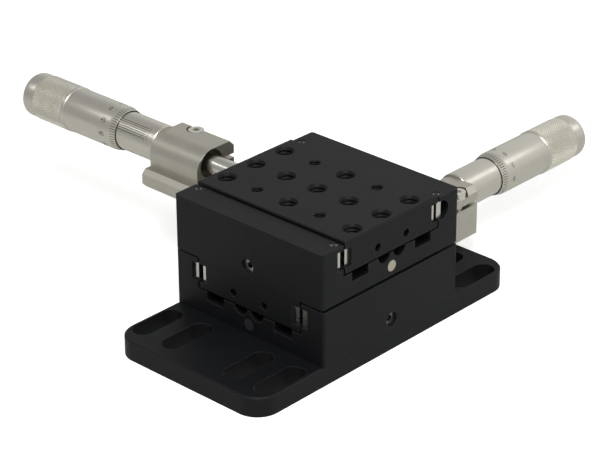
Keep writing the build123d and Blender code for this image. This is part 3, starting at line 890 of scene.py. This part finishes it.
def knurled_piece(stage):
    """The knurl's points, which go with the grip's ring."""
    mesh = knurl()
    mesh.transform(places[stage])
    go_with(new_piece(f"{stage}_knurl", mesh, finishes["knurled_chrome"]), f"{stage}_thimble_grip")


def marked_piece(stage, node, mesh):
    """Painted marks that ride on a node."""
    mesh.transform(places[stage])
    go_with(new_piece(mesh.name, mesh, paint), f"{stage}_{node}")


finished_node("mounting_plate")
for stage in ("lower", "upper"):
    carriage(stage)
    for node in ("base", "bracket", "base_races", "carriage_races", "race_screws", "mounting_screws",
                 "lock_screws", "end_plug", "clamp_screw", "bracket_screws", "ball_cages", "balls",
                 "anvil", "base_spring_pins", "carriage_spring_pins", "spindle_nut"):
        finished_node(f"{stage}_{node}")
    springs(stage)
    turned_piece(stage, "sleeve", sleeve_outline())
    turned_piece(stage, "spindle", spindle_outline())
    turned_piece(stage, "thimble", thimble_outline())
    turned_piece(stage, "thimble_grip", grip_outline())
    knurled_piece(stage)
    turned_piece(stage, "thimble_cap", cap_outline())
    marked_piece(stage, "thimble", thimble_marks(stage))
    marked_piece(stage, "sleeve", sleeve_marks(stage))


# ---------------------------------------------------------------- floor, light and camera
def pale_floor():
    """Matt white table top; what the camera sees of it is lifted to white outside shadows."""
    half_side = 6.0
    lift_to_eye = 0.6
    lift_mirrored = 0.02
    bm = bmesh.new()
    bmesh.ops.create_grid(bm, x_segments=1, y_segments=1, size=half_side)
    mesh = mesh_from("floor", bm)
    made, tree, shader = start_material("white_table_top", "#ECECEA", 0.0, 0.9)
    shader.inputs["Specular IOR Level"].default_value = 0.0
    path = add(tree, "ShaderNodeLightPath").outputs
    seen = add(tree, "ShaderNodeMath", {0: path["Is Camera Ray"], 1: path["Is Transmission Ray"]},
               operation="MAXIMUM")
    direct = add(tree, "ShaderNodeMath", {0: seen.outputs[0], 1: lift_to_eye}, operation="MULTIPLY")
    mirrored = add(tree, "ShaderNodeMath", {0: path["Is Glossy Ray"], 1: lift_mirrored},
                   operation="MULTIPLY")
    lift = add(tree, "ShaderNodeMath", {0: direct.outputs[0], 1: mirrored.outputs[0]}, operation="ADD")
    glow = add(tree, "ShaderNodeEmission", {"Color": linear("#FFFFFF"), "Strength": lift.outputs[0]})
    both = add(tree, "ShaderNodeAddShader", {0: shader.outputs[0], 1: glow.outputs[0]})
    tree.links.new(both.outputs[0], tree.nodes["Material Output"].inputs["Surface"])
    new_piece("floor", mesh, made)


def soft_world():
    """White to look at; mirrored, a grey tent with a pale backdrop; as light, plain grey."""
    tent_grey = 0.48
    backdrop_grey = 0.85
    light_grey = 0.36
    towards_backdrop = (0.2, 1.0, 0.0)
    world = bpy.data.worlds.new("studio")
    bpy.context.scene.world = world
    world.use_nodes = True
    tree = world.node_tree
    path = add(tree, "ShaderNodeLightPath").outputs
    seen = add(tree, "ShaderNodeMath", {0: path["Is Camera Ray"], 1: path["Is Transmission Ray"]},
               operation="MAXIMUM")
    direction = add(tree, "ShaderNodeTexCoord").outputs["Generated"]
    behind = add(tree, "ShaderNodeVectorMath", {0: direction, 1: towards_backdrop},
                 operation="DOT_PRODUCT")
    backdrop = add(tree, "ShaderNodeMapRange", {"Value": behind.outputs["Value"], "From Min": 0.2,
                                                "From Max": 0.7})
    tent = add(tree, "ShaderNodeMix", {"Factor": backdrop.outputs["Result"], "A": tent_grey,
                                       "B": backdrop_grey}, data_type="FLOAT")
    fill = add(tree, "ShaderNodeMix", {"Factor": path["Is Glossy Ray"], "A": light_grey,
                                       "B": tent.outputs["Result"]}, data_type="FLOAT")
    shown = add(tree, "ShaderNodeMath", {0: fill.outputs["Result"], 1: seen.outputs[0]},
                operation="MAXIMUM")
    sky = tree.nodes["Background"]
    sky.inputs["Color"].default_value = linear("#FFFFFF")
    tree.links.new(shown.outputs[0], sky.inputs["Strength"])


def softbox(name, place, aim, size, watts):
    """Square soft light at a place in metres, aimed at a point."""
    light = bpy.data.lights.new(name, "AREA")
    light.shape = "SQUARE"
    light.size = size
    light.energy = watts
    lamp = bpy.data.objects.new(name, light)
    bpy.context.scene.collection.objects.link(lamp)
    lamp.location = place
    lamp.rotation_euler = (Vector(aim) - Vector(place)).to_track_quat("-Z", "Y").to_euler()


def camera():
    """Long lens looking down over the corner between the two micrometers."""
    place = (0.42133, -0.45645, 0.34436)
    azimuth, elevation, roll = (math.radians(a) for a in (42.92, 26.84, -0.21))
    back = Vector((math.sin(azimuth) * math.cos(elevation), -math.cos(azimuth) * math.cos(elevation),
                   math.sin(elevation)))
    level = Vector((math.cos(azimuth), math.sin(azimuth), 0))
    upright = back.cross(level)
    right = math.cos(roll) * level + math.sin(roll) * upright
    up = math.cos(roll) * upright - math.sin(roll) * level
    lens = bpy.data.cameras.new("camera")
    lens.sensor_width = 36.0
    lens.lens = 138.73
    lens.shift_x = -0.0088
    lens.shift_y = 0.0008
    lens.clip_start = 0.01
    eye = bpy.data.objects.new("camera", lens)
    bpy.context.scene.collection.objects.link(eye)
    eye.matrix_world = Matrix.Translation(place) @ Matrix((right, up, back)).transposed().to_4x4()
    bpy.context.scene.camera = eye


pale_floor()
soft_world()
softbox("key", place=(0.32, -0.40, 0.80), aim=(0, 0, 0.03), size=0.34, watts=4.2)
softbox("right_front", place=(0.80, -0.10, 0.45), aim=(0, 0, 0.03), size=0.5, watts=1.6)
softbox("left_strip", place=(-0.60, -0.46, 0.60), aim=(-0.09, 0, 0.05), size=0.2, watts=0.32)
softbox("back", place=(0.42, 0.75, 0.65), aim=(0, 0.09, 0.03), size=0.3, watts=0.4)
camera()
bpy.context.scene.view_settings.view_transform = "Standard"
